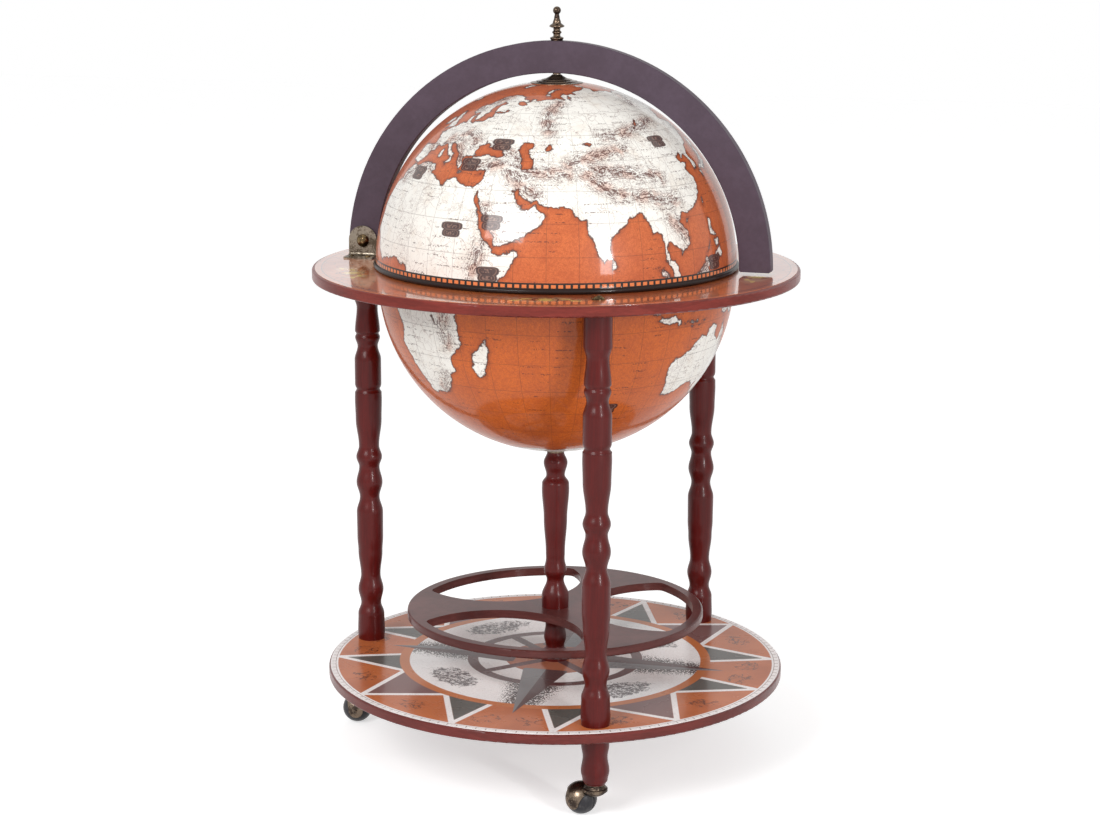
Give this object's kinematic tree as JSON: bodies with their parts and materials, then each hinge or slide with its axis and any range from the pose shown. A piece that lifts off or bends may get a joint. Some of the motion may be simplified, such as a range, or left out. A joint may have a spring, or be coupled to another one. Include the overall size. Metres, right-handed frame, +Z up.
{
  "type": "floor globe bar",
  "caption": "Printed globe bar on a three-legged turned stand with casters; the upper hemisphere tips over on a hinged half meridian above a tray for bottles and glasses.",
  "frame": {"origin": "on the floor, under the centre of the globe", "axes": "+Z up; the meridian stands in the XZ plane with its hinge at -X and its free end at +X; one leg is near -X"},
  "size_m": [0.57, 0.57, 0.89],
  "materials": {
    "table_wood": "stained mahogany, satin",
    "print_sheet": "printed sheet, satin lacquer",
    "globe_print": "printed map under satin lacquer",
    "turned_wood": "dark stained hardwood, semi-gloss lacquer",
    "inner_wood": "plain wood",
    "ring_wood": "dark stained board, satin",
    "arch_wood": "dark stained plywood, matte",
    "rim_wood": "near-black moulding, satin",
    "antique_brass": "antique brass, brushed",
    "bronze": "aged bronze plating",
    "dark_metal": "dark bronzed metal",
    "steel": "zinc-plated steel",
    "wheel_plastic": "dark grey nylon"
  },
  "bodies": {
    "stand": {"table_ring": "table_wood", "table_print": "print_sheet", "lower_bowl": "globe_print", "bowl_hoop": "inner_wood", "hoop_screws": "steel", "bar_tray": "turned_wood", "glass_floor": "turned_wood", "tray_spacers": "turned_wood", "bracket_front": "antique_brass", "bracket_back": "antique_brass", "bracket_screws": "antique_brass", "hinge_bolt": "antique_brass", "hinge_nut": "antique_brass", "leg_1": "turned_wood", "leg_2": "turned_wood", "leg_3": "turned_wood", "leg_bolts": "steel", "bolt_caps": "antique_brass", "foot_studs": "steel", "post_upper": "turned_wood", "post_lower": "turned_wood", "post_washer": "dark_metal", "post_rod": "steel", "post_nuts": "steel", "bottle_ring": "ring_wood", "shelf": "table_wood", "shelf_print": "print_sheet", "foot_1": "turned_wood", "foot_2": "turned_wood", "foot_3": "turned_wood", "caster_cup_1": "bronze", "caster_cup_2": "bronze", "caster_cup_3": "bronze"},
    "lid": {"meridian_arch": "arch_wood", "finial": "antique_brass", "lid_rod": "steel", "spacer_collar": "dark_metal", "rod_nut": "steel"},
    "dome": {"dome": "globe_print", "dome_rim": "rim_wood", "pole_cap": "dark_metal", "pole_pad": "inner_wood"},
    "caster_1": {"caster_hood_1": "bronze", "caster_axle_1": "bronze"},
    "wheel_1": {"caster_wheel_1": "wheel_plastic"},
    "caster_2": {"caster_hood_2": "bronze", "caster_axle_2": "bronze"},
    "wheel_2": {"caster_wheel_2": "wheel_plastic"},
    "caster_3": {"caster_hood_3": "bronze", "caster_axle_3": "bronze"},
    "wheel_3": {"caster_wheel_3": "wheel_plastic"}
  },
  "joints": [
    {"name": "lid_hinge", "type": "hinge", "parent": "stand", "child": "lid", "pos_m": [-0.23792, 0, 0.61035], "axis": [0, -1, 0], "range_deg": [0, 90]},
    {"name": "dome_spin", "type": "hinge", "parent": "lid", "child": "dome", "pos_m": [0, 0, 0.8], "axis": [0, 0, 1], "continuous": true},
    {"name": "swivel_1", "type": "hinge", "parent": "stand", "child": "caster_1", "pos_m": [-0.24157, 0.01055, 0.05], "axis": [0, 0, 1], "continuous": true},
    {"name": "roll_1", "type": "hinge", "parent": "caster_1", "child": "wheel_1", "pos_m": [-0.26009, 0.00627, 0.018], "axis": [0.225, -0.9744, 0], "continuous": true},
    {"name": "swivel_2", "type": "hinge", "parent": "stand", "child": "caster_2", "pos_m": [0.11165, -0.21448, 0.05], "axis": [0, 0, 1], "continuous": true},
    {"name": "roll_2", "type": "hinge", "parent": "caster_2", "child": "wheel_2", "pos_m": [0.0938, -0.20798, 0.018], "axis": [-0.342, -0.9397, 0], "continuous": true},
    {"name": "swivel_3", "type": "hinge", "parent": "stand", "child": "caster_3", "pos_m": [0.12992, 0.20394, 0.05], "axis": [0, 0, 1], "continuous": true},
    {"name": "roll_3", "type": "hinge", "parent": "caster_3", "child": "wheel_3", "pos_m": [0.13484, 0.22229, 0.018], "axis": [-0.9659, 0.2588, 0], "continuous": true}
  ]
}
